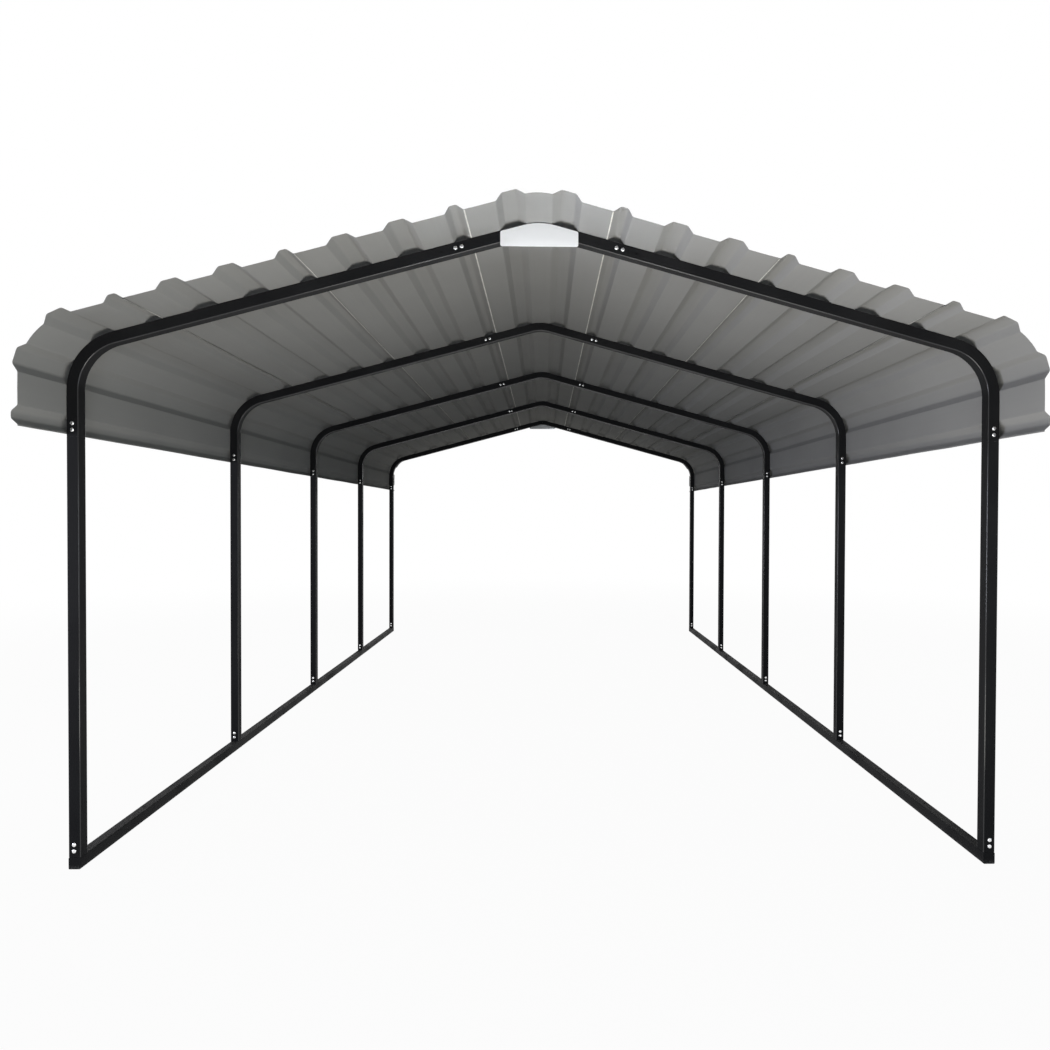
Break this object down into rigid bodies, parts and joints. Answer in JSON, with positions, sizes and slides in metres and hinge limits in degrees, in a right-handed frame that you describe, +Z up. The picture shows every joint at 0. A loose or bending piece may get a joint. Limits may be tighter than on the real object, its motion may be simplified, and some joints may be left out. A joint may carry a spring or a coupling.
{
  "type": "carport",
  "caption": "Free-standing carport: black square-tube frames on base rails under a grey ribbed steel roof that laps rib over rib and turns down over the sides",
  "frame": {"origin": "on the ground, in the middle of the carport under the ridge", "axes": "+X across to the right seen from the front, +Y along the ridge from front to rear, +Z up"},
  "size_m": [3.6472, 6.14, 2.5025],
  "materials": {
    "frame_paint": "gloss",
    "roof_sheet": "satin",
    "plate": "gloss"
  },
  "bodies": {
    "root": {"left_base_rail": "frame_paint", "right_base_rail": "frame_paint", "left_rail_stubs": "frame_paint", "right_rail_stubs": "frame_paint", "left_post_1": "frame_paint", "left_post_2": "frame_paint", "left_post_3": "frame_paint", "left_post_4": "frame_paint", "left_post_5": "frame_paint", "right_post_1": "frame_paint", "right_post_2": "frame_paint", "right_post_3": "frame_paint", "right_post_4": "frame_paint", "right_post_5": "frame_paint", "left_bow_1": "frame_paint", "left_bow_2": "frame_paint", "left_bow_3": "frame_paint", "left_bow_4": "frame_paint", "left_bow_5": "frame_paint", "right_bow_1": "frame_paint", "right_bow_2": "frame_paint", "right_bow_3": "frame_paint", "right_bow_4": "frame_paint", "right_bow_5": "frame_paint", "peak_bow_1": "frame_paint", "peak_bow_2": "frame_paint", "peak_bow_3": "frame_paint", "peak_bow_4": "frame_paint", "peak_bow_5": "frame_paint", "ridge_panel": "roof_sheet", "left_upper_panel": "roof_sheet", "left_lower_panel": "roof_sheet", "left_eave_panel": "roof_sheet", "right_upper_panel": "roof_sheet", "right_lower_panel": "roof_sheet", "right_eave_panel": "roof_sheet", "front_plate": "plate", "rear_plate": "plate"}
  },
  "joints": []
}
